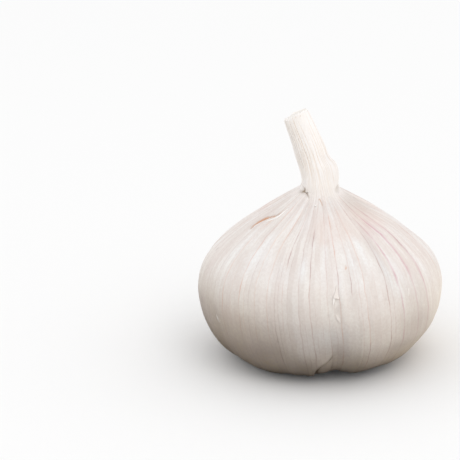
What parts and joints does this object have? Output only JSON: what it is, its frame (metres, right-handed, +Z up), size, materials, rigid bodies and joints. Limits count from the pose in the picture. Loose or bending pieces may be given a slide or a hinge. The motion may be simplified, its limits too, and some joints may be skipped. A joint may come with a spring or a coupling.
{
  "type": "garlic bulb",
  "caption": "Whole head of garlic: a lobed, ribbed bulb in papery skins with a leaning cut stem, a root plate and clipped roots.",
  "frame": {"origin": "middle of the flat spot under the root plate, where the head rests", "axes": "+Z up through the head, -Y towards its front, +X to its right; the stem leans towards -X and a little +Y"},
  "size_m": [0.0598, 0.0598, 0.0617],
  "materials": {
    "skin": "satin",
    "dry_stem": "matte",
    "root_plate": "matte",
    "roots": "matte"
  },
  "bodies": {
    "root": {"bulb": "skin", "stem": "dry_stem", "root_plate": "root_plate", "root_fringe": "roots"}
  },
  "joints": []
}
